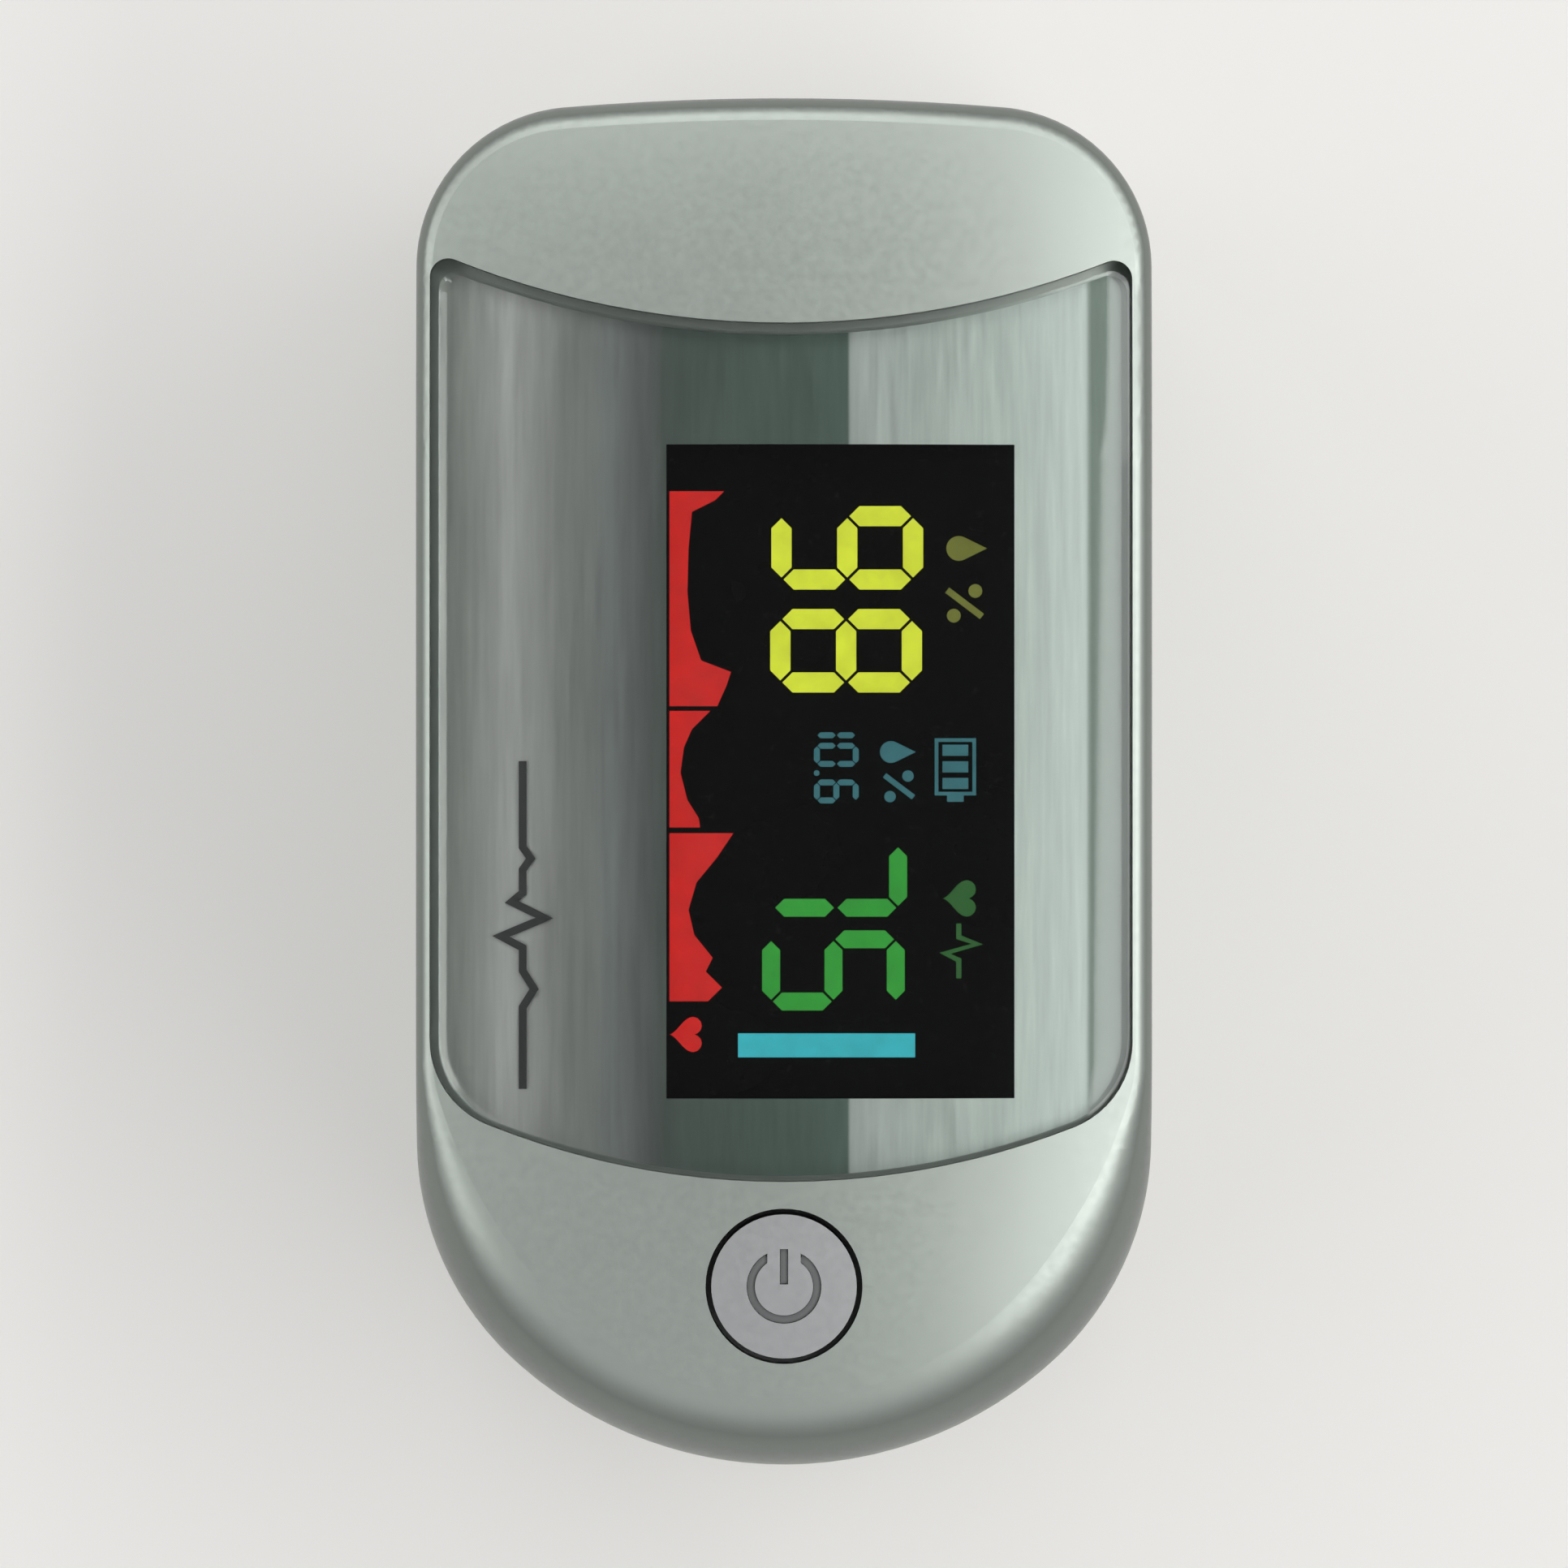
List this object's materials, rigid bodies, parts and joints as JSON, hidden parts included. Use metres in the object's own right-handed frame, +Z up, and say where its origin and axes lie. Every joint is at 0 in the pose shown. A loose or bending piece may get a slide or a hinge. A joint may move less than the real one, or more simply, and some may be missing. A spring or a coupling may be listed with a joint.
{
  "type": "fingertip pulse oximeter",
  "caption": "Fingertip pulse oximeter: two sprung jaws on a rear hinge, a display under a crowned window, a round power button and a sliding battery door.",
  "frame": {"origin": "Centre of the underside's bounding box: midway along the length and the width, on the resting face.", "axes": "+Z up through the display. -Y is the mouth, where the finger goes in; +Y is the rounded nose with the power button and the squeeze end. X is across."},
  "size_m": [0.0322, 0.06, 0.0319],
  "materials": {
    "cover": "pale sage silver, pearl paint on moulded plastic",
    "window": "clear glossy window",
    "mask": "silvery grey-green film under the window",
    "screen": "black display face",
    "carrier": "black moulded carrier",
    "board": "green solder mask",
    "chip": "black moulded package",
    "passive": "brown ceramic",
    "switch": "black switch case and plunger",
    "emitter": "red-tinted light source",
    "detector": "dark light receiver",
    "lens": "clear lens",
    "frame": "pale grey inner frame",
    "pad": "dark soft silicone",
    "steel": "plated steel",
    "button": "light silver grey cap with a darker mark",
    "shell": "pale sage grey moulded plastic",
    "cell": "dark sleeve with bare ends",
    "ribbon": "amber film"
  },
  "bodies": {
    "lower_jaw": {"bottom_shell": "shell", "lower_frame": "frame", "lower_pad": "pad", "lower_screws": "steel", "detector_lens": "lens", "detector": "detector", "detector_board": "board", "battery_left": "cell", "battery_right": "cell", "contact_bridge": "steel", "contact_positive": "steel", "contact_negative": "steel", "contact_springs": "steel", "hinge_pin": "steel", "torsion_spring_left": "steel", "torsion_spring_right": "steel", "ribbon_cable": "ribbon"},
    "upper_jaw": {"top_cover": "cover", "display_window": "window", "window_mask": "mask", "display_panel": "screen", "display_carrier": "carrier", "main_board": "board", "controller_chip": "chip", "board_passives": "passive", "tact_switch": "switch", "emitter": "emitter", "emitter_lens": "lens", "upper_frame": "frame", "upper_pad": "pad", "upper_screws": "steel"},
    "power_button": {"button_cap": "button", "switch_plunger": "switch"},
    "battery_door": {"battery_door": "shell"}
  },
  "joints": [
    {"name": "jaw_hinge", "type": "hinge", "parent": "lower_jaw", "child": "upper_jaw", "pos_m": [0, 0.009, 0.0185], "axis": [-1, 0, 0], "range_deg": [0, 20], "stiffness_Nm_per_rad": 0.2, "springref_deg": -17.19, "deforming": ["torsion_spring_left", "torsion_spring_right", "ribbon_cable"]},
    {"name": "power_button", "type": "slide", "parent": "upper_jaw", "child": "power_button", "axis": [0, 0, -1], "range_m": [0, 0.0004], "stiffness_N_per_m": 3000},
    {"name": "battery_door", "type": "slide", "parent": "lower_jaw", "child": "battery_door", "axis": [0, 1, 0], "range_m": [0, 0.055]}
  ]
}
